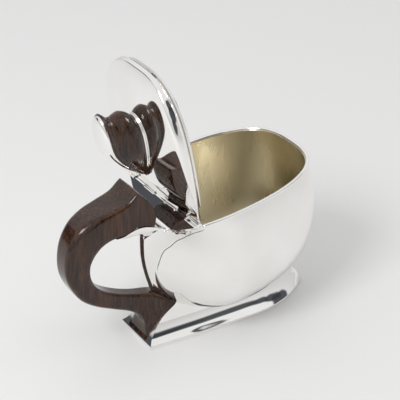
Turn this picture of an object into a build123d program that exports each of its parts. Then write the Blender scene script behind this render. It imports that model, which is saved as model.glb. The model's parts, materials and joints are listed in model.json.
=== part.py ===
"""Lidded silver sauce boat with a scrolled wooden handle and a wooden lid finial.

Millimetres, +Z up, +X towards the pouring end. The origin is on the table, under the middle
of the length, in the mirror plane. The lid is modelled open, resting on its stop.
"""
from build123d import *
import os
from math import cos, sin, tan, pi, radians, sqrt

# ---- driving dimensions -------------------------------------------------------------------
hinge_x, hinge_z = -16.5, 92.6       # hinge axis, parallel to Y
hinge_half = 40.2                    # half the length of the hinge
rim_tilt = 7.7                       # the rim rises towards the front, degrees
lid_open = 98.4                      # the open lid's plane, degrees from horizontal
mouth_length = 91.0                  # from the hinge axis to the front of the rim
mouth_half = 43.0                    # half the widest part of the mouth
belly_from_hinge = 27.3              # where the mouth is widest, along the rim plane
rim_height = 1.6                     # depth of the rim wire
rim_width = 1.9
bead = 0.5                           # how far the rim wire stands proud of the bowl
wall = 1.3                           # silver sheet
gilding = 0.3                        # gilt skin, drawn thick enough to be a solid

bowl_floor = 14.0                    # underside of the bowl
bowl_rear = 34.5                     # from the belly to the back of the bowl, below the rim
bowl_fullness = 4.0                  # how long the bowl stays wide before it turns under
bowl_bulge = 0.13                    # how much wider the bowl is half way down
bowl_drift = 3.0                     # the bowl's middle moves forward towards the floor

foot_rear, foot_front = -37.1, 86.5
foot_half = 20.8
foot_edge = 2.4                      # height of the foot's plain border

lid_gap = 0.25                       # the closed lid's edge above the rim
lid_crown = 10.0                     # height of the lid's crown above the rim plane
lid_crown_x = 58.0                   # where the crown is, from the hinge
lid_radius = 205.0                   # radius of the lid's shallow dome
bezel_inset, bezel_wall, bezel_drop = 2.25, 0.9, 3.0
bezel_start = 12.0                   # the bezel stops short of the hinge

barrel_r, pin_r = 1.9, 0.8
hinge_clearance = 0.35
pin_clearance = 0.05
knuckle_gap = 0.3
knuckles = 7                         # the first and last belong to the boat

web_half = 3.2                       # half the thickness of the rear web
handle_pin_r = 0.9

os.makedirs("parts", exist_ok=True)
slope = tan(radians(rim_tilt))
rim_front = mouth_length - belly_from_hinge
belly_x = hinge_x + belly_from_hinge * cos(radians(rim_tilt))

rim_frame = Plane(origin=(hinge_x, 0, hinge_z),
                  x_dir=(cos(radians(rim_tilt)), 0, sin(radians(rim_tilt))),
                  z_dir=(-sin(radians(rim_tilt)), 0, cos(radians(rim_tilt))))
lid_frame = Plane(origin=(hinge_x, 0, hinge_z),
                  x_dir=(cos(radians(lid_open)), 0, sin(radians(lid_open))),
                  z_dir=(-sin(radians(lid_open)), 0, cos(radians(lid_open))))


def save(shape, node):
    """Write one sub-part; a group of loose solids becomes one compound."""
    solids = shape.solids()
    export_step(solids[0] if len(solids) == 1 else Compound(children=list(solids)),
                f"parts/{node}.step")


def block(x0, x1, y0, y1, z0, z1):
    return Pos((x0 + x1) / 2, (y0 + y1) / 2, (z0 + z1) / 2) * Box(x1 - x0, y1 - y0, z1 - z0)


def loft_wires(wires):
    return Solid.make_loft(wires, ruled=False)


# ---- bowl ---------------------------------------------------------------------------------
def bowl_section(depth, inset):
    """Closed outline of the bowl at a depth from 0, under the rim, to 1, the floor."""
    fullness = sqrt(1 - max(depth, 0) ** bowl_fullness) * (1 + 4 * bowl_bulge * depth * (1 - depth))
    front = fullness * rim_front * cos(radians(rim_tilt)) - inset
    rear = fullness * bowl_rear - inset
    half = fullness * mouth_half - inset
    middle = belly_x + bowl_drift * depth
    floor = bowl_floor + inset
    points = []
    for step in range(36):
        angle = 2 * pi * step / 36
        c, s = cos(angle), sin(angle)
        # squarish at the mouth, plain ellipse towards the floor
        length_power = 2.3 - 0.3 * depth if c > 0 else 2.0 + 1.2 * (1 - depth) ** 4
        width_power = 3.0 * (1 - depth) + 2.0 * depth
        reach = front if c > 0 else -rear
        x = middle + reach * abs(c) ** (2 / length_power)
        y = half * abs(s) ** (2 / width_power) * (1 if s > 0 else -1)
        top = hinge_z + (x - hinge_x) * slope - rim_height / cos(radians(rim_tilt))
        points.append((x, y, floor + (1 - depth) * (top - floor)))
    return Wire([Edge.make_spline([Vector(*p) for p in points], periodic=True)])


def bowl_body(inset, depths):
    return loft_wires([bowl_section(depth, inset) for depth in depths])


depths = [0, 0.12, 0.27, 0.44, 0.6, 0.74, 0.85, 0.93, 0.98]
inner_depths = [-0.05] + depths[1:]
bowl_outer = bowl_body(0, depths)
bowl_inner = bowl_body(wall, inner_depths)
gilt_outer = bowl_body(wall, [0.005] + depths[1:])
gilt_inner = bowl_body(wall + gilding, inner_depths)
barrel_room = Pos(hinge_x, 0, hinge_z) * Rot(90, 0, 0) * Cylinder(
    barrel_r + hinge_clearance, 2 * hinge_half + 1)
bowl_shell = bowl_outer - bowl_inner - barrel_room
gilt_lining = gilt_outer - gilt_inner - barrel_room


# ---- mouth outline, shared by the rim wire and the lid --------------------------------------
def mouth_half_at(x):
    """Half the mouth's width, x along the rim plane from the hinge."""
    if x < belly_from_hinge:
        return mouth_half - (mouth_half - hinge_half) * (1 - x / belly_from_hinge) ** 2
    return mouth_half * max(0, 1 - ((x - belly_from_hinge) / rim_front) ** 2.3) ** (1 / 3)


def mouth_face(inset, start):
    """Flat face inside the mouth's outline, from a straight end at x = start."""
    side = [(x, mouth_half_at(x) - inset) for x in (start, (start + belly_from_hinge) / 2)]
    for angle in (90, 72, 56, 42, 30, 19, 9, 3):
        c, s = cos(radians(angle)), sin(radians(angle))
        side.append((belly_from_hinge + (rim_front - inset) * c ** (2 / 2.3),
                     (mouth_half - inset) * s ** (2 / 3)))
    tip = (mouth_length - inset, 0)
    points = [(x, -y) for x, y in side] + [tip] + side[::-1]
    edge = Edge.make_spline([Vector(x, y, 0) for x, y in points])
    close = Edge.make_line(Vector(start, side[0][1], 0), Vector(start, -side[0][1], 0))
    return Face(Wire([edge, close]))


def mouth_prism(inset, start, z0, z1):
    return Pos(0, 0, z0) * extrude(mouth_face(inset, start), amount=z1 - z0, dir=(0, 0, 1))


rim_start = barrel_r + hinge_clearance
rim_ring = (mouth_prism(-bead, rim_start, -rim_height, 0)
            - mouth_prism(rim_width - bead, rim_start - 1, -rim_height - 1, 1))
save(rim_frame * rim_ring, "rim_wire")

# ---- lid ----------------------------------------------------------------------------------
lid_start = barrel_r + hinge_clearance


def lid_body(inset, crown_drop):
    """Lid solid: leaning walls under a shallow dome, inset for the hollow."""
    levels = [(lid_gap - (1 if inset else 0), 0), (4.0, 0.25), (6.5, 1.4), (8.5, 4.0), (11.0, 9.0)]
    walls = loft_wires([
        (Pos(0, 0, z) * mouth_face(lean + inset, lid_start + inset)).outer_wire()
        for z, lean in levels])
    dome = Pos(lid_crown_x, 0, lid_crown - crown_drop - lid_radius) * Sphere(lid_radius)
    return walls & dome


lid_solid = lid_body(0, 0)
lid_hollow = lid_body(wall, wall)
lid_skin = lid_body(wall + gilding, wall + gilding)
finial_screw_x = 52.0
stud_r = 1.5
stud_hole = Pos(finial_screw_x, 0, 5) * Cylinder(stud_r + 0.05, 30)
lid_shell = lid_solid - lid_hollow - stud_hole
lid_gilding = lid_hollow & mouth_prism(0, 0, lid_gap, 20)
lid_gilding = lid_gilding - lid_skin - stud_hole
bezel = (mouth_prism(bezel_inset, bezel_start, -bezel_drop, lid_gap)
         - mouth_prism(bezel_inset + bezel_wall, bezel_start - 1, -bezel_drop - 1, lid_gap + 1))
bezel_flange = (mouth_prism(wall + gilding, bezel_start, lid_gap, lid_gap + 0.8) & lid_skin)
bezel_flange = bezel_flange - mouth_prism(bezel_inset + bezel_wall, bezel_start - 1, -1, 3)
lid_shell, lid_gilding = lid_frame * lid_shell, lid_frame * lid_gilding
save(lid_frame * (bezel + bezel_flange), "lid_bezel")

# ---- finial -------------------------------------------------------------------------------
collar_height = 1.2
collar_width = 0.8
finial_top = 30.6                     # highest part of the wood over the rim plane
# height over the rim plane, front end, half width; the hinge end is cut by the slope below
finial_levels = [(2.0, 59.5, 8.4), (8.0, 61.0, 9.2), (11.0, 61.6, 9.4), (14.0, 64.2, 10.2),
                 (18.0, 66.0, 10.4), (21.5, 66.0, 9.6), (24.5, 66.2, 9.2), (27.0, 67.6, 9.4),
                 (29.0, 69.6, 10.2), (finial_top, 70.4, 10.5)]
finial_belly = 51.0
finial_tail = 18.0
# the sloping top, from the hinge end forward
slope_line = [(15.5, 6.0), (20.0, 8.6), (26.7, 14.9), (35.4, 22.5), (43.8, 28.0), (50.0, 30.0), (57.0, 30.6)]
cap_height = 3.2
cap_inset = 0.8


def teardrop(z, nose, half, inset=0.0):
    """Outline round at the front and drawn to a narrow tail at the hinge end."""
    side = []
    for angle in (25, 50, 72, 90):
        side.append((finial_belly + (nose - inset - finial_belly) * cos(radians(angle)),
                     (half - inset) * sin(radians(angle))))
    for share in (0.3, 0.6, 0.85):
        side.append((finial_belly - (finial_belly - finial_tail) * share,
                     (half - inset) * cos(pi / 2 * share)))
    points = [(nose - inset, 0)] + side + [(finial_tail + inset, 0)] + [(x, -y) for x, y in side[::-1]]
    return Wire([Edge.make_spline([Vector(x, y, z) for x, y in points], periodic=True)])


def under_slope(lift):
    """Everything below the finial's sloping top, raised by lift."""
    points = [Vector(x, 0, z + lift) for x, z in slope_line]
    front = Vector(90, 0, finial_top + lift)
    corners = [front, Vector(90, 0, -20), Vector(points[0].X, 0, -20), points[0]]
    edges = [Edge.make_spline(points), Edge.make_line(points[-1], front)]
    edges += [Edge.make_line(a, b) for a, b in zip(corners, corners[1:])]
    return extrude(Face(Wire(edges)), amount=30, dir=(0, 1, 0), both=True)


over_lid = Pos(lid_crown_x, 0, lid_crown - lid_radius) * Sphere(lid_radius)
over_collar = Pos(lid_crown_x, 0, lid_crown - lid_radius) * Sphere(lid_radius + collar_height)
collar = loft_wires([teardrop(z, 61.6, 9.4, -collar_width) for z in (2, 14)])
collar = (collar & over_collar) - over_lid - stud_hole
knob = loft_wires([teardrop(z, nose, half) for z, nose, half in finial_levels])
knob = (knob & under_slope(0)) - over_collar
stud_top = 27.0
stud_bottom = 3.2
nut_height = 2.4
stud = Pos(finial_screw_x, 0, (stud_top + stud_bottom) / 2) * Cylinder(stud_r, stud_top - stud_bottom)
knob = knob - Pos(finial_screw_x, 0, stud_top / 2) * Cylinder(stud_r + 0.05, stud_top)
cap = loft_wires([teardrop(finial_top - 24, 69.6, 10.0, cap_inset), teardrop(finial_top, 69.6, 10.0, cap_inset),
                  teardrop(finial_top + cap_height, 66.0, 7.5, cap_inset)])
cap = (cap & under_slope(cap_height)) - under_slope(0) - over_collar
lid_under_stud = lid_crown - wall - gilding - (finial_screw_x - lid_crown_x) ** 2 / (2 * lid_radius)
nut = Pos(finial_screw_x, 0, lid_under_stud - 0.35 - nut_height / 2) * (
    extrude(RegularPolygon(3.6, 6), amount=nut_height / 2, both=True))
nut = nut - Pos(finial_screw_x, 0, 5) * Cylinder(stud_r, 30)
washer = Pos(finial_screw_x, 0, lid_under_stud - 0.15) * Cylinder(4.6, 0.35)
washer = (washer - Pos(finial_screw_x, 0, 5) * Cylinder(stud_r + 0.05, 30)) & lid_skin
for solid, node in ((collar, "finial_collar"), (knob, "finial_knob"), (cap, "finial_cap"),
                    (stud, "finial_stud"), (nut, "finial_nut"), (washer, "finial_washer")):
    save(lid_frame * solid, node)

# ---- hinge --------------------------------------------------------------------------------
axis_place = Pos(hinge_x, 0, hinge_z) * Rot(90, 0, 0)
knuckle_length = (2 * hinge_half - knuckle_gap * (knuckles - 1)) / knuckles
leaf_reach = barrel_r + hinge_clearance + 0.9
leaf_half = 0.55
bore = Cylinder(pin_r + pin_clearance, 2 * hinge_half + 4)


def knuckle(index, frame, leaf_side):
    """One tube of the hinge barrel with its soldered leaf."""
    y = -hinge_half + knuckle_length / 2 + index * (knuckle_length + knuckle_gap)
    tube = Pos(hinge_x, y, hinge_z) * Rot(90, 0, 0) * Cylinder(barrel_r, knuckle_length)
    leaf = frame * Pos(leaf_side * leaf_reach / 2, y, lid_gap + leaf_half) * Box(
        leaf_reach, knuckle_length, 2 * leaf_half)
    return tube + leaf - axis_place * bore


body_knuckles = [knuckle(i, rim_frame, -1) for i in range(0, knuckles, 2)]
lid_knuckles = [knuckle(i, lid_frame, 1) for i in range(1, knuckles, 2)]
hinge_pin = axis_place * Cylinder(pin_r, 2 * hinge_half - 0.2)
for piece in lid_knuckles:
    lid_shell, lid_gilding = lid_shell - piece, lid_gilding - piece
save(lid_shell, "lid_shell")
save(lid_gilding, "lid_gilding")

# ---- foot ---------------------------------------------------------------------------------
# height, hinge end, front end, half width of the foot's outline
foot_levels = [(foot_edge, foot_rear, foot_front, foot_half), (5.3, -34.8, 85.2, 17.6),
               (9.0, -31.2, 82.0, 15.0), (12.9, -27.3, 78.0, 13.3), (18.0, -21.1, 71.0, 12.0),
               (22.5, -13.5, 62.0, 11.0), (27.0, -6.0, 52.0, 10.0)]


def foot_outline(z, rear, front, half):
    """Straight across the back, widening to the middle, then a boat-shaped front."""
    length = front - rear
    side = [(rear + length * f, half * w)
            for f, w in ((0, 0.84), (0.34, 0.957), (0.64, 1.0), (0.78, 0.85), (0.87, 0.62),
                         (0.955, 0.3))]
    points = [(x, -y) for x, y in side] + [(front, 0)] + side[::-1]
    edge = Edge.make_spline([Vector(x, y, z) for x, y in points])
    back = Edge.make_line(Vector(rear, side[0][1], z), Vector(rear, -side[0][1], z))
    return Wire([edge, back])


def foot_body(inset, levels):
    return loft_wires([foot_outline(z - (inset if z > foot_edge else 0), rear + inset, front - inset,
                                    half - inset) for z, rear, front, half in levels])


def border(inset, z0, z1):
    face = Face(foot_outline(z0, foot_rear + inset, foot_front - inset, foot_half - inset))
    return extrude(face, amount=z1 - z0, dir=(0, 0, 1))


foot_solid = foot_body(0, foot_levels)
foot_hollow = foot_body(wall, foot_levels)
foot_shell = foot_solid - foot_hollow - bowl_outer
foot_border = border(0, 0, foot_edge) - border(2.6, -1, foot_edge + 1)

# ---- handle -------------------------------------------------------------------------------
# outer edge x, z; inner edge x, z; half width; corner radius as a share of the thinner side
handle_stations = [
    (-26.0, 114.0, -26.0, 79.0, 11.7, 0.05), (-39.3, 107.5, -38.5, 79.8, 11.6, 0.06),
    (-47.0, 101.6, -46.5, 80.5, 11.4, 0.09), (-57.0, 98.5, -55.0, 80.6, 11.0, 0.14),
    (-68.0, 95.7, -61.0, 78.0, 10.4, 0.2), (-76.5, 90.8, -65.4, 73.6, 9.5, 0.24),
    (-82.3, 82.0, -68.3, 69.0, 8.8, 0.25), (-85.2, 72.0, -69.8, 64.5, 8.2, 0.25),
    (-84.9, 61.0, -70.0, 59.0, 7.6, 0.25), (-81.5, 51.5, -68.6, 53.6, 7.0, 0.25),
    (-75.5, 42.4, -65.0, 48.0, 6.4, 0.25), (-66.0, 35.2, -58.5, 42.6, 5.8, 0.25),
    (-54.0, 28.9, -49.0, 37.6, 5.3, 0.25), (-43.0, 23.2, -38.8, 33.8, 5.1, 0.25)]
block_stations = [
    (-37.0, 18.2, -28.0, 30.8, 5.9, 0.25), (-34.6, 12.5, -20.5, 27.0, 7.8, 0.2),
    (-35.2, 5.0, -13.5, 22.5, 10.0, 0.12), (-36.0, 0.5, -10.0, 17.5, 10.4, 0.08)]
crown = 0.6                           # the outer face swells by this much


def handle_section(outer_x, outer_z, inner_x, inner_z, half, rounding):
    """Rounded rectangle between the outer and the inner edge."""
    across = Vector(outer_x - inner_x, 0, outer_z - inner_z)
    thick = across.length + crown
    frame = Plane(origin=((outer_x + inner_x) / 2, 0, (outer_z + inner_z) / 2),
                  x_dir=across, z_dir=(-across.Z, 0, across.X))
    return (frame * RectangleRounded(thick, 2 * half, rounding * min(thick, 2 * half))).face().outer_wire()


def smooth_stations(stations, between):
    """Catmull-Rom rows through the stations."""
    rows = []
    for i in range(len(stations) - 1):
        near = [stations[min(max(i + k, 0), len(stations) - 1)] for k in (-1, 0, 1, 2)]
        for step in range(between):
            t = step / between
            rows.append([b + t / 2 * (c - a + t * (2 * a - 5 * b + 4 * c - d + t * (3 * (b - c) + d - a)))
                         for a, b, c, d in zip(*near)])
    return rows + [list(stations[-1])]


handle_rows = smooth_stations(handle_stations + block_stations, 3)
handle_solid = Solid.make_loft([handle_section(*row) for row in handle_rows], ruled=True)

# The wood is cut to a lens-shaped front end and stands on a silver tongue.
tongue_z = 81.0
wood_front = [(-38.4, 106.4), (-34.5, 102.3), (-31.3, 98.0), (-28.4, 90.7), (-28.6, 85.7)]
front_edges = [Edge.make_line(Vector(-29.8, 0, tongue_z), Vector(-60, 0, tongue_z)),
               Edge.make_line(Vector(-60, 0, tongue_z), Vector(-60, 0, 130)),
               Edge.make_line(Vector(-60, 0, 130), Vector(-41.5, 0, 130)),
               Edge.make_line(Vector(-41.5, 0, 130), Vector(-38.4, 0, 106.4)),
               Edge.make_spline([Vector(x, 0, z) for x, z in wood_front] + [Vector(-29.8, 0, tongue_z)])]
wood_keep = extrude(Face(Wire(front_edges)), amount=30, dir=(0, 1, 0), both=True)
wood_rest = block(-120, -54, -40, 40, 0, 140) + block(-60, 20, -40, 40, 0, 60)
handle_wood = handle_solid & (wood_keep + wood_rest)

# ---- neck and web -------------------------------------------------------------------------
# The neck's top falls from the hinge to the tongue in one hollow curve.
neck_top = [(hinge_x, 92.4), (-18.3, 89.6), (-20.1, 86.8), (-21.7, 83.9), (-23.4, 82.1), (-26.0, 81.2),
            (-29.8, tongue_z)]
neck_tip = -54.5
plate = 2.4
# x, half width and height of the keel
neck_stations = [(-15.5, 40.4, 82.0), (-18.3, 35.5, 78.0), (-20.1, 30.0, 74.0), (-22.5, 21.0, 71.0),
                 (-25.5, 14.6, 70.0), (-29.8, 12.0, 70.5), (-34.0, 11.7, 71.6), (-39.5, 11.5, 74.5),
                 (-47.0, 11.1, 77.6), (neck_tip, 10.4, 80.3)]


def neck_section(x, half, keel_z):
    """Flat-topped section over a boat-shaped keel."""
    edge_z = 80.7 if x < -25 else max(80.7, min(91.0, 80.7 + (x + 25) * 1.15))
    flank = edge_z + (keel_z - edge_z) * 0.62
    keel = Edge.make_spline([Vector(x, y * half, z) for y, z in (
        (1, edge_z), (0.55, flank), (0, keel_z), (-0.55, flank), (-1, edge_z))])
    corners = [(-half, edge_z), (-half, 95.0), (half, 95.0), (half, edge_z)]
    walls = [Edge.make_line(Vector(x, *a), Vector(x, *b)) for a, b in zip(corners, corners[1:])]
    return Wire(walls + [keel])


def under_top(drop):
    """Everything below the neck's top surface, lowered by drop."""
    points = [Vector(x, 0, z - drop) for x, z in neck_top]
    corners = [points[-1], Vector(-80, 0, tongue_z - drop), Vector(-80, 0, 20), Vector(hinge_x, 0, 20), points[0]]
    edges = [Edge.make_spline(points)] + [Edge.make_line(a, b) for a, b in zip(corners, corners[1:])]
    return extrude(Face(Wire(edges)), amount=60, dir=(0, 1, 0), both=True)


behind_hinge = block(-80, hinge_x, -60, 60, 20, 140)
neck_solid = Solid.make_loft([neck_section(*s) for s in smooth_stations(neck_stations, 3)], ruled=True)
neck_solid = neck_solid & under_top(0)
bowl_shell = bowl_shell - (behind_hinge - under_top(plate))
gilt_lining = gilt_lining - (behind_hinge - under_top(plate)) - bowl_shell
neck = neck_solid - (bowl_outer & under_top(plate)) - bowl_shell - barrel_room - handle_wood
for piece in body_knuckles:
    neck = neck - piece
neck = neck - rim_frame * mouth_prism(-3, rim_start - 0.1, -rim_height, 6)
neck = max(neck.solids(), key=lambda solid: solid.volume)

web_rear = [(-32.2, 74.0), (-32.4, 60.0), (-29.4, 43.4), (-24.6, 29.5), (-16.0, 17.0)]
web_edges = [Edge.make_spline([Vector(x, 0, z) for x, z in web_rear]),
             Edge.make_line(Vector(-16.0, 0, 17.0), Vector(0, 0, 17.0)),
             Edge.make_line(Vector(0, 0, 17.0), Vector(0, 0, 74.0)),
             Edge.make_line(Vector(0, 0, 74.0), Vector(-32.2, 0, 74.0))]
web = extrude(Face(Wire(web_edges)), amount=web_half, dir=(0, 1, 0), both=True)
handle_wood = handle_wood - foot_solid - border(0, -1, foot_edge) - web
web = web - bowl_outer - neck - foot_solid

# ---- pins and screws ----------------------------------------------------------------------
tongue_pin = Pos(-46.5, 0, 88.0) * Rot(90, 0, 0) * Cylinder(handle_pin_r, 22.0)
foot_screw = Pos(-27.0, 0, 13.0) * Rot(0, -38, 0) * Cylinder(1.6, 16)
handle_wood = handle_wood - tongue_pin - foot_screw
foot_shell = foot_shell - foot_screw

save(bowl_shell, "bowl_shell")
save(gilt_lining, "gilt_lining")
save(foot_shell, "foot_shell")
save(foot_border, "foot_border")
save(handle_wood, "handle_grip")
save(neck, "neck")
save(web, "rear_web")
save(tongue_pin, "handle_pin")
save(foot_screw, "handle_foot_screw")
save(Compound(children=body_knuckles), "body_knuckles")
save(Compound(children=lid_knuckles), "lid_knuckles")
save(hinge_pin, "hinge_pin")
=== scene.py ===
"""Looks of the lidded silver sauce boat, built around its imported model.

Lengths in the tables below are millimetres in the part's own frame and are scaled to metres when
a mesh is made. Lid pieces are laid out in the closed lid's plane and turned open about the hinge.
"""

import json
from math import atan2, cos, pi, radians, sin, sqrt

import bmesh
import bpy
import numpy as np
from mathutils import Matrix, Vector


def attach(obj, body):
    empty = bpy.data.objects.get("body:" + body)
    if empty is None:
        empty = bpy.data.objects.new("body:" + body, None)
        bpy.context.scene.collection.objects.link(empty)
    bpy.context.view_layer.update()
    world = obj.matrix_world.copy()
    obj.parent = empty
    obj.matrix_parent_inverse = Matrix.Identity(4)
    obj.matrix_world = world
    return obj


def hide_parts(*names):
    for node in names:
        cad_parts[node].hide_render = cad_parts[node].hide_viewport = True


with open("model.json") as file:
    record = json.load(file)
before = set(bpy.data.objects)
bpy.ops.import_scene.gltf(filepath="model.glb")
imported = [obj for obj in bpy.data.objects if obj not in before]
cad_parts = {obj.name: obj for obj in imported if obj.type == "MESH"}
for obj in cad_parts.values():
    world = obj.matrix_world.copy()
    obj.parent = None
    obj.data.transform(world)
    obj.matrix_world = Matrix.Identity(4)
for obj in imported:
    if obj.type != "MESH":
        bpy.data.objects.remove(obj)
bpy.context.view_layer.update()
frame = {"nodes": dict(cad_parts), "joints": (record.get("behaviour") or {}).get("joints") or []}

MM = 0.001
hinge = next(j for j in frame["joints"] if j["name"] == "lid_hinge")
hinge_x, _, hinge_z = (v / MM for v in hinge["pos_m"])

# ---- shared sizes -------------------------------------------------------------------------
rim_tilt = radians(7.7)               # the rim rises towards the front
lid_open = radians(98.4)              # the open lid's plane, from horizontal
mouth_length, mouth_half, hinge_half = 93.5, 43.0, 40.2
front_power, side_power = 2.4, 3      # how square the mouth is in front, along and across
belly = 27.3                          # where the mouth is widest, from the hinge
rim_front = mouth_length - belly
belly_x = hinge_x + belly * cos(rim_tilt)
rim_height, rim_under = 1.6, 0.25     # the rim wire, and how far it reaches into the wall's edge
outline_start = 2.3                   # rim wire and lid begin this far from the hinge axis
wall = 1.3                            # silver sheet
gilding = 0.3                         # the gilt skin's thickness
tuck = 0.05                           # how far a skin sinks into the piece behind it

bowl_floor, bowl_rear = 14.0, 37.6    # underside; from the belly to the back, below the rim
bowl_fullness, stern_fullness = 5.0, 7.0
bowl_bulge, front_bulge = 0.13, 0.10  # how much wider and longer the bowl is half way down
bowl_drift = 3.0                      # its middle moves forward towards the floor
bowl_columns = 144
bowl_turn, bowl_last = 0.72, 0.995    # depths where the wall turns under, and of the last ring

foot_rear, foot_front, foot_half = -37.1, 86.5, 20.8
foot_edge, foot_top = 2.4, 27.0       # heights of the border and of the outline table's end

lid_short = 2.5                       # the lid's front stands back from the rim's
lid_inset = 0.5                       # its sides stand back by this much
lid_gap = 0.25                        # the closed lid's edge above the rim
lid_crown, lid_crown_x, lid_radius = 10.0, 58.0, 205.0
lid_fall = 4.0                        # the dome's extra fall in front of the crown
lid_middle = np.array([46.0, 0.0])    # where the lid's rings shrink to
lid_back_points = 38
shoulder_blend = 0.45                 # softness of the crease between shoulder and dome


# ---- mesh helpers -------------------------------------------------------------------------
def spline_rows(rows, between):
    """Catmull-Rom rows of numbers through the given rows."""
    rows = np.array(rows, float)
    out = []
    for i in range(len(rows) - 1):
        a, b, c, d = (rows[min(max(i + k, 0), len(rows) - 1)] for k in (-1, 0, 1, 2))
        for step in range(between):
            t = step / between
            out.append(b + t / 2 * (c - a + t * (2 * a - 5 * b + 4 * c - d + t * (3 * (b - c) + d - a))))
    return np.array(out + [rows[-1]])


def make_mesh(name, verts, faces, sharp=()):
    """Mesh object from points in mm; edges between vertices listed in sharp stay crisp."""
    mesh = bpy.data.meshes.new(name)
    mesh.from_pydata([tuple(v * MM) for v in np.asarray(verts, float)], [], faces)
    mesh.validate()
    mesh.polygons.foreach_set("use_smooth", [True] * len(mesh.polygons))
    if sharp:
        wanted = {tuple(sorted(pair)) for pair in sharp}
        mark = mesh.attributes.new("sharp_edge", "BOOLEAN", "EDGE")
        mark.data.foreach_set("value", [tuple(sorted(e.vertices)) in wanted for e in mesh.edges])
    mesh.update()
    piece = bpy.data.objects.new(name, mesh)
    bpy.context.scene.collection.objects.link(piece)
    return piece


def skin(name, rings, cap_first=True, cap_last=True, sharp_rings=(), sharp_columns=(), loop=False):
    """Closed rings of equal length joined by quads; ends are closed to a middle point."""
    rings = [np.asarray(r, float) for r in rings]
    count, columns = len(rings), len(rings[0])
    verts = [p for ring in rings for p in ring]
    faces, sharp = [], []
    spans = count if loop else count - 1
    for i in range(spans):
        k = (i + 1) % count
        for j in range(columns):
            n = (j + 1) % columns
            faces.append((i * columns + j, i * columns + n, k * columns + n, k * columns + j))
    for i in sharp_rings:
        i %= count
        sharp += [(i * columns + j, i * columns + (j + 1) % columns) for j in range(columns)]
    for j in sharp_columns:
        sharp += [(i * columns + j, (i + 1) % count * columns + j) for i in range(spans)]
    for wanted, i, flip in ((cap_first, 0, True), (cap_last, count - 1, False)):
        if wanted and not loop:
            verts.append(rings[i].mean(axis=0))
            middle = len(verts) - 1
            for j in range(columns):
                a, b = i * columns + j, i * columns + (j + 1) % columns
                faces.append((b, a, middle) if flip else (a, b, middle))
    piece = make_mesh(name, verts, faces, sharp)
    fix_normals(piece)
    return piece


def fix_normals(piece):
    """Turns every face outwards."""
    bm = bmesh.new()
    bm.from_mesh(piece.data)
    bmesh.ops.recalc_face_normals(bm, faces=bm.faces)
    bm.to_mesh(piece.data)
    bm.free()


def open_lid(points):
    """Closed-lid coordinates (from the hinge, across, up) to the open lid in the part's frame."""
    p = np.asarray(points, float)
    c, s = cos(lid_open), sin(lid_open)
    return np.stack([hinge_x + p[..., 0] * c - p[..., 2] * s, p[..., 1],
                     hinge_z + p[..., 0] * s + p[..., 2] * c], axis=-1)


def on_rim(points):
    """Rim-plane coordinates to the part's frame."""
    p = np.asarray(points, float)
    c, s = cos(rim_tilt), sin(rim_tilt)
    return np.stack([hinge_x + p[..., 0] * c - p[..., 2] * s, p[..., 1],
                     hinge_z + p[..., 0] * s + p[..., 2] * c], axis=-1)


def dress(piece, body, slot, material, *nodes):
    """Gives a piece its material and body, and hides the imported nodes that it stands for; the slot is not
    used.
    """
    piece.data.materials.clear()
    piece.data.materials.append(material)
    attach(piece, body)
    if nodes:
        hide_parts(*nodes)


# ---- materials ----------------------------------------------------------------------------
def new_material(name):
    """Empty material, its nodes and links, and its shader."""
    material = bpy.data.materials.new(name)
    material.use_nodes = True
    nodes, links = material.node_tree.nodes, material.node_tree.links
    return material, nodes, links, nodes["Principled BSDF"]


def noise(nodes, links, coords, scale, detail, stretch=(1, 1, 1), turn=(0, 0, 0), rough=0.5):
    """Noise in the object's own space, stretched and turned."""
    place = nodes.new("ShaderNodeMapping")
    place.inputs["Scale"].default_value = stretch
    place.inputs["Rotation"].default_value = turn
    links.new(coords.outputs["Object"], place.inputs["Vector"])
    tex = nodes.new("ShaderNodeTexNoise")
    tex.inputs["Scale"].default_value = scale
    tex.inputs["Detail"].default_value = detail
    tex.inputs["Roughness"].default_value = rough
    links.new(place.outputs["Vector"], tex.inputs["Vector"])
    return tex


def ramp(nodes, links, source, stops):
    """Colours for a pattern's values."""
    node = nodes.new("ShaderNodeValToRGB")
    points = node.color_ramp.elements
    while len(points) < len(stops):
        points.new(0.5)
    for point, (place, colour) in zip(points, stops):
        point.position = place
        point.color = (*colour, 1)
    links.new(source, node.inputs["Fac"])
    return node


def ranged(nodes, links, source, low, high):
    """Spreads a pattern's middle values over a range."""
    node = nodes.new("ShaderNodeMapRange")
    node.inputs["From Min"].default_value = 0.3
    node.inputs["From Max"].default_value = 0.7
    node.inputs["To Min"].default_value = low
    node.inputs["To Max"].default_value = high
    links.new(source, node.inputs["Value"])
    return node


def roughen(nodes, links, source, shader, strength, distance):
    """Fine relief from a height pattern."""
    bump = nodes.new("ShaderNodeBump")
    bump.inputs["Strength"].default_value = strength
    bump.inputs["Distance"].default_value = distance
    links.new(source, bump.inputs["Height"])
    links.new(bump.outputs["Normal"], shader.inputs["Normal"])


def silver_material():
    """Polished silver: faint haze and hairline scratches."""
    material, nodes, links, shader = new_material("polished_silver")
    coords = nodes.new("ShaderNodeTexCoord")
    haze = noise(nodes, links, coords, 38, 4)
    tone = ramp(nodes, links, haze.outputs["Fac"],
                [(0.3, (0.90, 0.885, 0.865)), (0.7, (0.955, 0.945, 0.93))])
    links.new(tone.outputs["Color"], shader.inputs["Base Color"])
    shader.inputs["Metallic"].default_value = 1.0
    gloss = ranged(nodes, links, haze.outputs["Fac"], 0.035, 0.075)
    links.new(gloss.outputs["Result"], shader.inputs["Roughness"])
    scratch = noise(nodes, links, coords, 900, 2, stretch=(0.06, 1, 1), turn=(0.3, 0.2, 0.7))
    roughen(nodes, links, scratch.outputs["Fac"], shader, 0.012, 0.0001)
    return material


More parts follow.
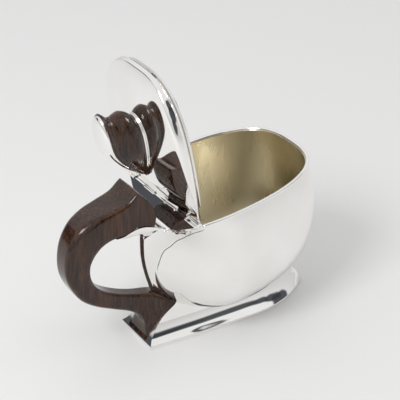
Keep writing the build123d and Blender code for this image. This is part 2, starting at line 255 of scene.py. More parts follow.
def gilt_material():
    """Worn gilding with soft upright polishing marks."""
    material, nodes, links, shader = new_material("gilt")
    coords = nodes.new("ShaderNodeTexCoord")
    marks = noise(nodes, links, coords, 130, 3, stretch=(1, 1, 0.07))
    cloud = noise(nodes, links, coords, 28, 3)
    tone = ramp(nodes, links, cloud.outputs["Fac"],
                [(0.3, (0.72, 0.66, 0.51)), (0.5, (0.80, 0.74, 0.59)), (0.72, (0.88, 0.83, 0.70))])
    links.new(tone.outputs["Color"], shader.inputs["Base Color"])
    shader.inputs["Metallic"].default_value = 1.0
    gloss = ranged(nodes, links, marks.outputs["Fac"], 0.24, 0.34)
    links.new(gloss.outputs["Result"], shader.inputs["Roughness"])
    roughen(nodes, links, marks.outputs["Fac"], shader, 0.05, 0.0002)
    return material


def wood_material():
    """Dark, close-grained wood under a hand-rubbed gloss."""
    material, nodes, links, shader = new_material("rosewood")
    coords = nodes.new("ShaderNodeTexCoord")
    lean = (0.05, 0.5, 0.1)
    grain = noise(nodes, links, coords, 700, 5, stretch=(1, 1, 0.08), turn=lean, rough=0.55)
    figure = noise(nodes, links, coords, 90, 4, stretch=(1, 1, 0.25), turn=lean)
    mix = nodes.new("ShaderNodeMix")
    mix.data_type = "FLOAT"
    mix.inputs["Factor"].default_value = 0.4
    links.new(grain.outputs["Fac"], mix.inputs["A"])
    links.new(figure.outputs["Fac"], mix.inputs["B"])
    tone = ramp(nodes, links, mix.outputs["Result"],
                [(0.36, (0.010, 0.005, 0.003)), (0.46, (0.026, 0.011, 0.006)),
                 (0.55, (0.050, 0.020, 0.010)), (0.68, (0.085, 0.034, 0.016))])
    links.new(tone.outputs["Color"], shader.inputs["Base Color"])
    gloss = ranged(nodes, links, grain.outputs["Fac"], 0.14, 0.22)
    links.new(gloss.outputs["Result"], shader.inputs["Roughness"])
    shader.inputs["Specular IOR Level"].default_value = 0.25
    shader.inputs["Coat Weight"].default_value = 0.4
    shader.inputs["Coat Roughness"].default_value = 0.06
    roughen(nodes, links, grain.outputs["Fac"], shader, 0.08, 0.0001)
    return material


def seam_shade_material():
    """Solder seam coloured dark, as painted shade of the crease where the flanks meet the bowl."""
    material, nodes, links, shader = new_material("painted_crease_shade")
    coords = nodes.new("ShaderNodeTexCoord")
    cloud = noise(nodes, links, coords, 400, 3)
    tone = ramp(nodes, links, cloud.outputs["Fac"],
                [(0.3, (0.20, 0.19, 0.18)), (0.7, (0.34, 0.33, 0.31))])
    links.new(tone.outputs["Color"], shader.inputs["Base Color"])
    shader.inputs["Metallic"].default_value = 1.0
    gloss = ranged(nodes, links, cloud.outputs["Fac"], 0.3, 0.45)
    links.new(gloss.outputs["Result"], shader.inputs["Roughness"])
    return material


silver, gilt, rosewood = silver_material(), gilt_material(), wood_material()
# the seam's dark colour is painted shade for the crease between the flanks and the bowl
seam_shade_silver = seam_shade_material()

# ---- outlines of the neck and of the wood's front ------------------------------------------
# x, height up the wood's front face
wood_front = spline_rows([(-29.8, 81.0), (-28.6, 85.7), (-28.4, 90.7), (-31.3, 98.0), (-34.5, 102.3),
                          (-38.4, 106.4), (-41.0, 109.0)], 8)
tongue_z = 81.0                       # the wood's underside on the tongue
tongue_top = tongue_z - tuck
# x, half width, height of the top and of the keel, from the tongue's tip to the hinge
neck_table = spline_rows([
    (-54.3, 10.6, tongue_top, 80.6), (-50.5, 11.0, tongue_top, 78.4), (-46.5, 11.2, tongue_top, 77.0),
    (-42.5, 11.4, tongue_top, 76.1), (-38.5, 11.6, tongue_top, 74.6), (-34.0, 11.8, tongue_top, 71.6),
    (-29.8, 12.0, tongue_top, 70.5), (-26.0, 14.4, 81.2, 70.5), (-23.4, 18.5, 82.1, 71.0),
    (-21.7, 24.0, 83.9, 72.0), (-20.1, 30.0, 86.8, 74.0), (-18.3, 35.5, 89.6, 78.0),
    (-16.5, 40.3, 92.4, 82.0)], 8)
neck_cover = 0.35                     # the bowl stays this far under the neck
neck_side = 0.4                       # and this far inside its edges


def front_x(z):
    """Where the wood's front face stands at a height."""
    return np.interp(z, wood_front[:, 1], wood_front[:, 0])


def neck_at(x):
    """Half width, top and keel of the neck."""
    return [np.interp(x, neck_table[:, 0], neck_table[:, k]) for k in (1, 2, 3)]


# ---- bowl ---------------------------------------------------------------------------------
def bowl_powers(depth, forward):
    """How square the bowl's outline is: along its length, across its width."""
    if forward:
        return 2.35 - 0.35 * depth, 3.0 - depth
    # square at the hinge, drawn to a soft stern below it, rounder again towards the floor
    square, round_floor = (1 - depth) ** 9, depth ** 5
    return 1.5 + 1.7 * square + 0.7 * round_floor, 1.0 + 2.0 * square + 0.9 * round_floor


def bowl_swell(depth, power, bulge=bowl_bulge):
    """Size of the bowl's outline at a depth, as a share of its size at the rim."""
    return sqrt(max(0, 1 - max(depth, 0) ** power)) * (1 + 4 * bulge * depth * (1 - depth))


def bowl_ring(depth, inset):
    """Outline of the bowl at a depth from 0, under the rim, to 1, the floor."""
    reach_front = bowl_swell(depth, bowl_fullness, front_bulge) * rim_front * cos(rim_tilt) - inset
    reach_rear = bowl_swell(depth, stern_fullness) * bowl_rear - inset
    angle = np.linspace(0, 2 * pi, bowl_columns, endpoint=False)
    c, s = np.cos(angle), np.sin(angle)
    front_length, front_width = bowl_powers(depth, True)
    rear_length, rear_width = bowl_powers(depth, False)
    length_power = np.where(c > 0, front_length, rear_length)
    width_power = np.where(c > 0, front_width, rear_width)
    reach = np.where(c > 0, reach_front, -reach_rear)
    x = belly_x + bowl_drift * depth + reach * np.abs(c) ** (2 / length_power)
    half = bowl_swell(depth, bowl_fullness) * mouth_half - inset
    y = half * np.abs(s) ** (2 / width_power) * np.sign(s)
    floor = bowl_floor + inset
    top = hinge_z + (x - hinge_x) * np.tan(rim_tilt) - rim_height / cos(rim_tilt)
    z = floor + (1 - depth) * (top - floor)
    # behind the hinge the wall stays under the neck, and inside its edges near the top
    cover, cover_top, _ = neck_at(x)
    widest = cover - neck_side - inset + 60 * depth
    z = np.where(x < hinge_x, np.minimum(z, cover_top - neck_cover), z)
    y = np.where(x < hinge_x, np.sign(y) * np.minimum(np.abs(y), widest), y)
    return np.stack([x, y, z], axis=1)


def depth_steps():
    """Even steps down the wall, closer together where the bowl turns under."""
    walls = list(np.linspace(0, bowl_turn, 26))
    turn = [1 - (1 - bowl_turn) * cos(a) for a in np.linspace(0, pi / 2, 30)[1:]]
    return walls + [depth for depth in turn if depth < bowl_last] + [bowl_last]


outside = [bowl_ring(depth, 0) for depth in depth_steps()]
inside = [bowl_ring(depth, wall) for depth in depth_steps()]
bowl = skin("bowl", inside[::-1] + outside, sharp_rings=(len(inside) - 1, len(inside)))
dress(bowl, "body", "silver", silver, "bowl_shell")

lining_face = [bowl_ring(depth, wall + gilding) for depth in depth_steps()]
lining_back = [bowl_ring(depth, wall - tuck) for depth in depth_steps()]
lining = skin("gilt_inside", lining_face[::-1] + lining_back,
              sharp_rings=(len(lining_face) - 1, len(lining_face)))
dress(lining, "body", "gilt", gilt, "gilt_lining")


# ---- mouth outline ------------------------------------------------------------------------
def mouth_points(inset, start, short=0.0):
    """Open outline (x, y) from the near hinge end round the front to the far hinge end."""
    near = []
    for x in np.linspace(start, belly, 22, endpoint=False):
        half = mouth_half - (mouth_half - hinge_half) * (1 - x / belly) ** 2 - inset
        near.append((x, -half))
    for angle in np.linspace(pi / 2, 0, 60):
        near.append((belly + (rim_front - short - inset) * cos(angle) ** (2 / front_power),
                     -(mouth_half - inset) * sin(angle) ** (2 / side_power)))
    near = np.array(near)
    return np.concatenate([near, near[-2::-1] * (1, -1)])


def sweep_outline(name, section, start, place, short=0.0):
    """Sweeps a closed (inset, height) section along the mouth's outline."""
    lines = [mouth_points(inset, start, short) for inset, _ in section]
    rings = [[(*line[k], height) for line, (_, height) in zip(lines, section)]
             for k in range(len(lines[0]))]
    return skin(name, [place(ring) for ring in rings])


def rounded_section(low, high, bottom, top, radius):
    """Rounded rectangle as (inset, height) pairs."""
    corners = ((low + radius, bottom + radius, pi), (high - radius, bottom + radius, 1.5 * pi),
               (high - radius, top - radius, 0), (low + radius, top - radius, 0.5 * pi))
    return [(x + radius * cos(start + turn), z + radius * sin(start + turn))
            for x, z, start in corners for turn in np.linspace(0, pi / 2, 5)]


rim_section = rounded_section(-0.5, 1.5, -rim_height - rim_under, 0, 0.7)
rim = sweep_outline("rim_wire", rim_section, outline_start, on_rim)
dress(rim, "body", "silver", silver, "rim_wire")


# ---- lid ----------------------------------------------------------------------------------
def dome(x, y):
    """Shallow dome that comes down to the rim in front."""
    ahead = np.maximum(0, (np.asarray(x) - lid_crown_x) / (mouth_length - lid_short - lid_crown_x))
    round_dome = lid_crown - ((x - lid_crown_x) ** 2 + y ** 2) / (2 * lid_radius)
    return round_dome - lid_fall * ahead ** 2.5


# distance in from the edge, height that the lid's shoulder reaches there
shoulder_table = np.array([(0.0, 0.25), (0.12, 2.2), (0.4, 4.2), (1.0, 5.9), (2.0, 7.2), (4.0, 8.9),
                           (8.0, 11.5), (60.0, 30.0)])


def lid_grid(inset, drop, start):
    """Rings from the lid's edge to its middle on the domed top, sunk by drop."""
    outline = mouth_points(inset, start, lid_short)
    across = np.linspace(1, -1, lid_back_points + 2)[1:-1]
    back = np.stack([np.full(lid_back_points, start), -outline[0][1] * across], axis=1)
    edge = np.concatenate([outline, back])
    span = outline[1:] - outline[:-1]
    rings = []
    for shrink in 1 - (np.arange(46) / 46) ** 1.6:
        ring = lid_middle + (edge - lid_middle) * shrink
        gap = ring[:, None] - outline[None, :-1]
        nearest = np.clip((gap * span).sum(2) / np.maximum((span ** 2).sum(1), 1e-9), 0, 1)
        distance = np.sqrt((((gap - nearest[..., None] * span) ** 2).sum(2)).min(1))
        shoulder = np.interp(distance, shoulder_table[:, 0], shoulder_table[:, 1])
        top = dome(ring[:, 0], ring[:, 1])
        z = -shoulder_blend * np.log(np.exp(-shoulder / shoulder_blend) + np.exp(-top / shoulder_blend))
        rings.append(np.column_stack([ring, z - drop]))
    return rings


def at_height(ring, height):
    """The same outline, flat at a height."""
    flat = np.array(ring)
    flat[:, 2] = height
    return flat


top_rings = lid_grid(lid_inset, 0, outline_start)
under_rings = lid_grid(lid_inset + wall, wall, outline_start + wall)
lid_base = [at_height(under_rings[0], lid_gap), at_height(top_rings[0], lid_gap)]
lid = skin("lid", [open_lid(r) for r in under_rings[::-1] + lid_base + top_rings],
           sharp_rings=(len(under_rings), len(under_rings) + 1))
dress(lid, "lid", "silver", silver, "lid_shell")

gilt_back = lid_grid(lid_inset + wall - tuck, wall - tuck, outline_start + wall)
gilt_face = lid_grid(lid_inset + wall + gilding, wall + gilding, outline_start + wall + gilding)
gilt_base = [at_height(gilt_face[0], lid_gap + tuck), at_height(gilt_back[0], lid_gap + tuck)]
lid_lining = skin("lid_gilt", [open_lid(r) for r in gilt_face[::-1] + gilt_base + gilt_back],
                  sharp_rings=(len(gilt_face), len(gilt_face) + 1))
dress(lid_lining, "lid", "gilt", gilt, "lid_gilding")

bezel_start = 12.0                    # the lip stops short of the hinge
# inset from the rim's outline, height
bezel_section = [(2.25, -2.8), (2.45, -3.0), (2.95, -3.0), (3.15, -2.8), (3.15, 1.0), (1.45, 1.0),
                 (1.45, 0.3), (2.25, 0.3)]
bezel = sweep_outline("lid_bezel_band", bezel_section, bezel_start, open_lid, lid_short)
dress(bezel, "lid", "silver", silver, "lid_bezel")

# ---- finial -------------------------------------------------------------------------------
collar_height = 1.2
collar_nose, collar_belly, collar_tail, collar_half = 61.5, 49.0, 20.0, 9.3
lip_nose, lip_belly, lip_tail, lip_half = 70.5, 52.0, 18.6, 10.4
finial_middle = 54.0                  # what the rings inside the lip shrink to
cap_scale, cap_edge, cap_bulge = 0.93, 0.9, 3.4
# where the sloping lip stands over the lid: from the hinge, height
lip_table = spline_rows([(16.0, 4.2), (18.5, 6.6), (26.7, 14.9), (35.4, 22.5), (43.8, 28.0), (50.0, 30.0),
                         (57.0, 30.6), (64.0, 30.6), (71.0, 30.4)], 6)
# how far the side swells out (+) or in (-) at a share of its height
swell_table = spline_rows([(0.0, 0.0), (0.15, 1.9), (0.36, 2.2), (0.54, 0.2), (0.69, -1.7), (0.82, -1.9),
                           (0.93, -0.6), (1.0, 0.0)], 6)


def teardrop(angle, nose, widest, tail, half):
    """Point of an outline that is round in front and drawn to a tail at the hinge end."""
    c, s = cos(angle), sin(angle)
    if c > 0:
        return widest + (nose - widest) * c, half * s
    return widest + (widest - tail) * c, half * sin(pi / 2 * (1 + c)) * (1 if s > 0 else -1)


def collar_outline(angle, grow=0.0):
    return teardrop(angle, collar_nose + grow, collar_belly, collar_tail - grow, collar_half + grow)


def lip_height(x):
    """Height of the sloping lip over the lid's plane."""
    return np.interp(x, lip_table[:, 0], lip_table[:, 1])


def finial_side(angle):
    """Foot of the side on the collar, and the lip above it."""
    x, y = collar_outline(angle)
    low = np.array([x, y, dome(x, y) + collar_height - 0.1])
    x, y = teardrop(angle, lip_nose, lip_belly, lip_tail, lip_half)
    return low, np.array([x, y, max(lip_height(x), low[2] + 0.4)])


angles = np.linspace(0, 2 * pi, 112, endpoint=False)
knob_rings = []
for share in np.linspace(0, 1, 48):
    ring = []
    for angle in angles:
        low, high = finial_side(angle)
        outward = (high - low)[:2] + (cos(angle) * 2, sin(angle) * 6)
        outward /= np.hypot(*outward)
        swell = np.interp(share, swell_table[:, 0], swell_table[:, 1])
        swell *= (high[2] - low[2]) / 20 * (0.75 + 0.25 * cos(angle))
        point = low + (high - low) * share
        point[:2] += outward * swell
        ring.append(point)
    knob_rings.append(np.array(ring))


def over_lip(scale, lift):
    """Ring inside the lip, following the sloping top."""
    ring = []
    for angle in angles:
        high = finial_side(angle)[1]
        x, y = finial_middle + (high[0] - finial_middle) * scale, high[1] * scale
        ring.append((x, y, max(lip_height(x), dome(x, y) + collar_height + 0.3) + lift))
    return np.array(ring)


knob_rings += [over_lip(scale, lift) for scale, lift in ((0.992, 0.35), (0.97, 0.5), (0.8, 0.4),
                                                         (0.5, 0.4), (0.2, 0.4))]
knob = skin("finial_wood", [open_lid(r) for r in knob_rings])
dress(knob, "lid", "rosewood", rosewood, "finial_knob")

collar_rings = []
for grow, lift in ((0.2, -0.15), (0.75, 0.25), (0.85, 0.6), (0.7, 1.0), (0.4, collar_height),
                   (-0.6, collar_height)):
    ring = []
    for angle in angles:
        x, y = collar_outline(angle, grow)
        ring.append((x, y, dome(x, y) + lift))
    collar_rings.append(np.array(ring))
collar = skin("finial_collar_strip", [open_lid(r) for r in collar_rings])
dress(collar, "lid", "silver", silver, "finial_collar")

cap_rings = [over_lip(cap_scale, 0.3), over_lip(cap_scale, cap_edge)]
for angle in np.linspace(0.1, pi / 2, 14)[:-1]:
    cap_rings.append(over_lip(cap_scale * cos(angle), cap_edge + cap_bulge * sin(angle)))
cap = skin("finial_cap_plate", [open_lid(r) for r in cap_rings], sharp_rings=(0,))
dress(cap, "lid", "silver", silver, "finial_cap")

# ---- foot ---------------------------------------------------------------------------------
# height, hinge end, front end, half width of the foot's outline
foot_table = spline_rows([(foot_edge, foot_rear, foot_front, foot_half), (5.3, -34.8, 85.2, 17.6),
                          (9.0, -31.2, 82.0, 15.0), (12.9, -27.3, 78.0, 13.3), (18.0, -21.1, 71.0, 12.0),
                          (22.5, -13.5, 62.0, 11.0), (foot_top, -6.0, 52.0, 10.0)], 8)
# share of the length from the hinge end, share of the half width
side_table = spline_rows([(0.0, 0.84), (0.34, 0.957), (0.64, 1.0), (0.78, 0.85), (0.87, 0.62),
                          (0.955, 0.3), (1.0, 0.0), (0.955, -0.3)], 10)[:61]
back_steps = 16
under_bowl = 0.4                      # how far the foot's wall runs into the bowl


def foot_ring(height, inset=0.0):
    """Outline of the foot at a height: round the front, then straight across the back."""
    rear, front, half = (np.interp(height, foot_table[:, 0], foot_table[:, k]) for k in range(1, 4))
    rear, front, half = rear + inset, front - inset, half - inset
    near = np.stack([rear + (front - rear) * side_table[:, 0], -half * side_table[:, 1]], axis=1)
    far = near[-2::-1] * (1, -1)
    back = [(rear, far[-1][1] * (1 - 2 * k / back_steps)) for k in range(1, back_steps)]
    flat = np.concatenate([near, far, back])
    return np.column_stack([flat, np.full(len(flat), height)])


def outside_bowl(point, inset=0.0):
    """Negative inside the bowl's outer surface."""
    x, y, z = point
    floor = bowl_floor + inset
    top = hinge_z + (x - hinge_x) * np.tan(rim_tilt) - rim_height / cos(rim_tilt)
    depth = 1 - (z - floor) / (top - floor)
    if depth > 1:
        return 1.0
    if depth < 0:
        return -1.0
    dx = x - belly_x - bowl_drift * depth
    if dx > 0:
        reach = bowl_swell(depth, bowl_fullness, front_bulge) * rim_front * cos(rim_tilt) - inset
    else:
        reach = bowl_swell(depth, stern_fullness) * bowl_rear - inset
    half = bowl_swell(depth, bowl_fullness) * mouth_half - inset
    if reach <= 0 or half <= 0:
        return 1.0
    length_power, width_power = bowl_powers(depth, dx > 0)
    return (abs(dx) / reach) ** length_power + (abs(y) / half) ** width_power - 1


def foot_side(inset, rings):
    """Foot surface from its border up to the bowl's underside."""
    levels = np.linspace(foot_edge, foot_top, 50)
    stack = np.array([foot_ring(z, inset) for z in levels])
    out = np.zeros((rings, stack.shape[1], 3))
    for j in range(stack.shape[1]):
        column = stack[:, j]
        stop = levels[-1]
        for k in range(1, len(column)):
            here = outside_bowl(column[k], under_bowl)
            if here < 0:
                before = outside_bowl(column[k - 1], under_bowl)
                share = before / (before - here)
                stop = levels[k - 1] + (levels[k] - levels[k - 1]) * share
                break
        heights = foot_edge + (stop - foot_edge) * np.linspace(0, 1, rings) ** 1.1
        for axis in (0, 1):
            out[:, j, axis] = np.interp(heights, levels, column[:, axis])
        out[:, j, 2] = heights
    return list(out)


corner_columns = (0, len(side_table) * 2 - 2)
outer_foot, inner_foot_side = foot_side(0, 34), foot_side(wall, 34)
foot = skin("foot", outer_foot[::-1] + inner_foot_side, loop=True, sharp_columns=corner_columns,
            sharp_rings=(len(outer_foot) - 1, len(outer_foot)))
dress(foot, "body", "silver", silver, "foot_shell")

border_rings = [at_height(foot_ring(foot_edge, inset), z)
                for inset, z in ((0.25, 0.0), (0.0, 0.3), (0.0, foot_edge - 0.3), (0.3, foot_edge),
                                 (2.4, foot_edge), (2.6, foot_edge - 0.2), (2.6, 0.0))]
border = skin("foot_edge_band", border_rings, loop=True, sharp_columns=corner_columns, sharp_rings=(0, 6))
dress(border, "body", "silver", silver, "foot_border")

# ---- handle -------------------------------------------------------------------------------
# outer edge x, z; inner edge x, z; half width; corner radius as a share of the thinner side
handle_table = spline_rows([
    (-26.0, 114.0, -26.0, 79.0, 11.7, 0.05), (-39.3, 107.5, -38.5, 79.8, 11.6, 0.07),
    (-47.0, 102.1, -46.5, 80.5, 11.6, 0.12), (-57.0, 99.2, -55.0, 80.6, 11.4, 0.18),
    (-68.0, 96.5, -60.6, 78.0, 10.8, 0.23), (-76.8, 91.5, -65.0, 73.6, 9.9, 0.26),
    (-82.9, 82.3, -67.9, 69.0, 9.1, 0.26), (-85.5, 72.0, -69.4, 64.5, 8.4, 0.25),
    (-85.2, 61.0, -69.6, 59.0, 7.8, 0.22), (-81.7, 51.5, -68.2, 53.8, 7.2, 0.22),
    (-75.5, 42.2, -64.8, 48.0, 6.6, 0.22), (-66.0, 34.8, -58.5, 42.6, 6.0, 0.22),
    (-54.0, 28.4, -49.0, 37.6, 5.5, 0.22), (-43.0, 22.8, -38.8, 33.8, 5.3, 0.22),
    (-37.0, 17.8, -28.0, 30.8, 6.0, 0.2), (-34.6, 12.5, -20.5, 27.0, 7.8, 0.15),
    (-35.2, 5.0, -13.5, 22.5, 10.0, 0.08), (-36.0, 2.9, -10.0, 17.5, 10.4, 0.05)], 12)
handle_columns, handle_rows = 120, 190


def section_outline(thick, half, corner):
    """Rounded rectangle (across, sideways), evenly spread over its perimeter."""
    straight_a, straight_b, arc = thick - 2 * corner, 2 * half - 2 * corner, pi / 2 * corner
    total = 2 * (straight_a + straight_b) + 4 * arc
    out = []
    for s in np.linspace(0, total, handle_columns, endpoint=False) + straight_b / 2:
        s %= total
        for k in range(4):
            straight = straight_b if k % 2 == 0 else straight_a
            turn = k * pi / 2
            ca, cb = ((thick / 2 - corner, half - corner), (-thick / 2 + corner, half - corner),
                      (-thick / 2 + corner, -half + corner), (thick / 2 - corner, -half + corner))[k]
            if s < straight:
                da, db = ((thick / 2, -half + corner + s), (thick / 2 - corner - s, half),
                          (-thick / 2, half - corner - s), (-thick / 2 + corner + s, -half))[k]
                out.append((da, db))
                break
            s -= straight
            if s < arc:
                a = turn + s / corner
                out.append((ca + corner * cos(a), cb + corner * sin(a)))
                break
            s -= arc
    return np.array(out)


handle_rings = []
for outer_x, outer_z, inner_x, inner_z, half, rounding in handle_table:
    across = np.array([outer_x - inner_x, 0, outer_z - inner_z])
    thick = float(np.linalg.norm(across))
    across /= thick
    middle = np.array([(outer_x + inner_x) / 2, 0, (outer_z + inner_z) / 2])
    outline = section_outline(thick, half, rounding * min(thick, 2 * half))
    handle_rings.append(middle + outline[:, :1] * across + outline[:, 1:] * (0, 1, 0))
handle_rings = np.array(handle_rings)

# every lengthwise line of the wood starts on the front face
steps = np.linspace(0, len(handle_rings) - 1, 6 * len(handle_rings))
fine = np.array([[np.interp(steps, range(len(handle_rings)), handle_rings[:, j, axis])
                  for axis in range(3)] for j in range(handle_columns)])
wood_rings = np.zeros((handle_rows, handle_columns, 3))
for j, column in enumerate(fine):
    x, y, z = column
    behind = np.nonzero(x < front_x(z))[0]
    first = steps[behind[0]]
    places = first + (len(handle_rings) - 1 - first) * np.linspace(0, 1, handle_rows)
    for axis in range(3):
        wood_rings[:, j, axis] = np.interp(places, steps, column[axis])
# the underside is level where it lies on the tongue, and the foot block's front is the foot's back
on_tongue = np.clip((wood_rings[..., 0] + 57) / 3, 0, 1) * (wood_rings[..., 2] > 60)
lifted = np.maximum(wood_rings[..., 2], tongue_z + 0.03)
wood_rings[..., 2] += (lifted - wood_rings[..., 2]) * on_tongue
foot_back = np.interp(wood_rings[..., 2], foot_table[:, 0], foot_table[:, 1]) - tuck
beside_foot = wood_rings[..., 2] < foot_top
wood_rings[..., 0] = np.where(beside_foot, np.minimum(wood_rings[..., 0], foot_back), wood_rings[..., 0])
front_rings = []
middle_z = wood_rings[0][:, 2].mean()
for share in np.linspace(0.12, 0.96, 9):
    ring = wood_rings[0].copy()
    ring[:, 1] *= share
    ring[:, 2] = middle_z + (ring[:, 2] - middle_z) * share
    ring[:, 0] = front_x(ring[:, 2])
    front_rings.append(ring)
handle = skin("handle_wood", front_rings + list(wood_rings), sharp_rings=(len(front_rings),))
dress(handle, "body", "rosewood", rosewood, "handle_grip")

# ---- neck ---------------------------------------------------------------------------------
across = np.linspace(-1, 1, 41)
neck_plate = 2.4                      # thickness where the neck lies over the bowl
edge_start, edge_rise = -26, 1.05     # where the neck's side edges leave the tongue, and how fast
# x, how high the tongue's sides stand up beside the wood
cheek_table = spline_rows([(-55.0, 0.0), (-51.0, 0.5), (-46.0, 2.4), (-41.0, 3.6), (-36.0, 3.4), (-31.0, 1.8),
                           (-27.0, 0.3), (-22.0, 0.0), (-16.0, 0.0)], 4)
neck_rings = []
for x in neck_table[:, 0]:
    half, top, keel = neck_at(x)
    edge = min(top - 0.2, tongue_top - 0.2 + max(0, x - edge_start) * edge_rise)
    cheek = np.interp(x, cheek_table[:, 0], cheek_table[:, 1])
    half += 0.9 * min(1, cheek)
    upper = [(x, t * half, top + cheek * min(1, max(0, (abs(t) - 0.9) / 0.04))) for t in across]
    under = []
    for t in across[::-1]:
        low = edge + (min(keel, edge - 0.1) - edge) * (1 - abs(t) ** 1.7)
        if outside_bowl((x, t * half, low), 0.6) < 0:
            low = max(low, top - neck_plate)
        under.append((x, t * half, low - 0.02))
    neck_rings.append(np.array(upper + under))
neck = skin("neck_saddle", neck_rings, sharp_columns=(0, len(across) - 1))
dress(neck, "body", "silver", silver, "neck")

# ---- rear web -----------------------------------------------------------------------------
# height, rear edge, half thickness at the rear edge, half thickness where it meets the bowl
web_table = spline_rows([
    (17.0, -16.8, 3.2, 4.5), (29.5, -25.6, 3.2, 6.3), (37.0, -28.6, 3.2, 6.4), (46.6, -31.4, 3.1, 7.1),
    (56.2, -33.1, 3.1, 9.4), (63.6, -33.5, 3.2, 12.1), (68.8, -33.5, 3.4, 16.5), (73.6, -33.2, 4.0, 20.3),
    (78.0, -32.9, 5.5, 25.5), (81.0, -32.6, 7.0, 28.8)], 8)


def bowl_back(y, z):
    """Hinge-end surface of the bowl at a distance from the mirror plane."""
    low, high = -60.0, 10.0
    for _ in range(40):
        middle = (low + high) / 2
        if outside_bowl((middle, y, z)) > 0:
            low = middle
        else:
            high = middle
    return low


web_rings = []
for z, rear, thin, thick in web_table:
    corner = rear + 1.3
    fullness = np.interp(z, (58.0, 74.0), (1.1, 0.85))
    front = max(bowl_back(thick, z) + 0.4, corner + 0.5)
    side = [(rear, 0.35), (rear + 0.2, 0.7)]
    for u in np.linspace(0, 1, 18):
        side.append((corner + (front - corner) * u, thin + (thick - thin) * u ** fullness))
    outline = [(x, -y) for x, y in side] + [(x, y) for x, y in side[::-1]]
    web_rings.append(np.array([(x, y, z) for x, y in outline]))
web = skin("rear_web_strip", web_rings, sharp_columns=(2, len(web_rings[0]) - 3))
dress(web, "body", "silver", silver, "rear_web")

# ---- soldered seam where the flanks meet the bowl, darkened as painted shade of the crease ---
seam_low, seam_radius = 47, 0.28
# the seam's upper end runs on from the flanks to the hinge: distance from the mirror plane, height
seam_top = ((31.5, 83.2), (34.5, 85.4), (37.0, 87.0), (38.8, 88.4))
seam_line = [(thick, z) for z, _, _, thick in web_table if z > seam_low] + list(seam_top)
seam_places = spline_rows([(bowl_back(y, z), y, z) for y, z in seam_line], 3)
turns = np.linspace(0, 2 * pi, 10, endpoint=False)[:, None]
for side, name in ((-1, "seam_near"), (1, "seam_far")):
    seam_rings = []
    for k, place in enumerate(seam_places):
        ahead = seam_places[min(k + 1, len(seam_places) - 1)] - seam_places[max(k - 1, 0)]
        ahead /= np.linalg.norm(ahead)
        over = np.cross(ahead, (1.0, 0.0, 0.0))
        over /= np.linalg.norm(over)
        out = np.cross(over, ahead)
        radius = seam_radius * min(1, (k + 1) / 12, (len(seam_places) - k) / 4)
        ring = place + radius * (np.cos(turns) * over + np.sin(turns) * out)
        seam_rings.append(ring * (1, side, 1))
    dress(skin(name, seam_rings), "body", "silver", seam_shade_silver)

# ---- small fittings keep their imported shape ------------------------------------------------
for node, material in (("handle_pin", silver), ("handle_foot_screw", silver), ("body_knuckles", silver),
                       ("lid_knuckles", silver), ("hinge_pin", silver), ("finial_stud", silver),
                       ("finial_nut", gilt), ("finial_washer", gilt)):
    part = frame["nodes"][node]
    part.data.materials.clear()
    part.data.materials.append(material)

# ---- stage --------------------------------------------------------------------------------
scene = bpy.context.scene
scene.view_settings.view_transform = "Standard"

bpy.ops.mesh.primitive_plane_add(size=12)
floor = bpy.context.object
floor.name = "floor"
paper, nodes, links, shader = new_material("paper")
shader.inputs["Base Color"].default_value = (0.80, 0.80, 0.795, 1)
shader.inputs["Roughness"].default_value = 0.75
shader.inputs["Specular IOR Level"].default_value = 0.25
floor.data.materials.append(paper)

world = bpy.data.worlds.new("soft_room")
scene.world = world
world.use_nodes = True
nodes, links = world.node_tree.nodes, world.node_tree.links
background = nodes["Background"]
coords = nodes.new("ShaderNodeTexCoord")
split = nodes.new("ShaderNodeSeparateXYZ")
links.new(coords.outputs["Generated"], split.inputs["Vector"])
band = nodes.new("ShaderNodeValToRGB")
points = band.color_ramp.elements
points[0].position, points[0].color = 0.0, (0.72, 0.72, 0.72, 1)
points[1].position, points[1].color = 0.6, (1.0, 1.0, 1.0, 1)
links.new(split.outputs["Z"], band.inputs["Fac"])


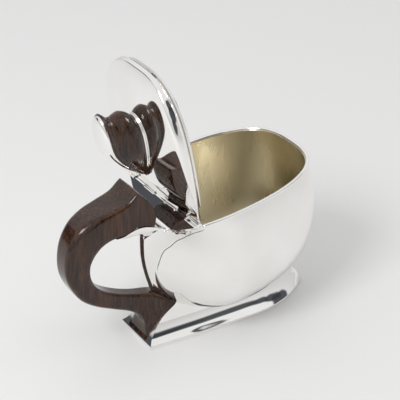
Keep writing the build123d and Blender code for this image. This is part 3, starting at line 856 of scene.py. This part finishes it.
def dark_panel(colour, direction, half_angle, softness, strength):
    """Darkens the room round one direction."""
    dot = nodes.new("ShaderNodeVectorMath")
    dot.operation = "DOT_PRODUCT"
    length = sqrt(sum(v * v for v in direction))
    dot.inputs[1].default_value = tuple(v / length for v in direction)
    links.new(coords.outputs["Generated"], dot.inputs[0])
    edge = nodes.new("ShaderNodeMapRange")
    edge.interpolation_type = "SMOOTHSTEP"
    edge.inputs["From Min"].default_value = cos(radians(half_angle + softness))
    edge.inputs["From Max"].default_value = cos(radians(half_angle))
    edge.inputs["To Max"].default_value = strength
    links.new(dot.outputs["Value"], edge.inputs["Value"])
    mix = nodes.new("ShaderNodeMix")
    mix.data_type = "RGBA"
    mix.inputs["B"].default_value = (0.05, 0.055, 0.065, 1)
    links.new(edge.outputs["Result"], mix.inputs["Factor"])
    links.new(colour, mix.inputs["A"])
    return mix.outputs["Result"]


def towards(azimuth, elevation):
    """Direction from two angles in degrees."""
    a, e = radians(azimuth), radians(elevation)
    return cos(a) * cos(e), sin(a) * cos(e), sin(e)


# azimuth, elevation and half angle of each dark panel, degrees
panels = ((-22, 27, 9), (-36, 28, 7), (-50, 28, 5), (-62, 28, 5), (-75, 28, 7), (-88, 24, 10),
          (-88, 40, 8), (-92, 8, 7), (131, 9, 12))
panel_softness, panel_strength = 4, 0.95
room = band.outputs["Color"]
for azimuth, elevation, half_angle in panels:
    room = dark_panel(room, towards(azimuth, elevation), half_angle, panel_softness, panel_strength)
links.new(room, background.inputs["Color"])
background.inputs["Strength"].default_value = 0.85


def area_light(name, place, target, size, power):
    """Rectangular light that faces its target."""
    data = bpy.data.lights.new(name, "AREA")
    data.shape = "RECTANGLE"
    data.size, data.size_y = size
    data.energy = power
    light = bpy.data.objects.new(name, data)
    scene.collection.objects.link(light)
    light.location = place
    light.rotation_euler = (Vector(target) - Vector(place)).to_track_quat("-Z", "Y").to_euler()


area_light("key", (-1.2, -0.5, 1.3), (0, 0, 0.06), (0.6, 0.6), 14)

camera_data = bpy.data.cameras.new("camera")
camera_data.lens = 130.84
camera_data.sensor_width = 36
camera = bpy.data.objects.new("camera", camera_data)
scene.collection.objects.link(camera)
camera.location = (-0.3963, -0.6406, 0.5206)
camera.rotation_euler = Vector((0.46315, 0.73163, -0.5002)).to_track_quat("-Z", "Y").to_euler()
scene.camera = camera
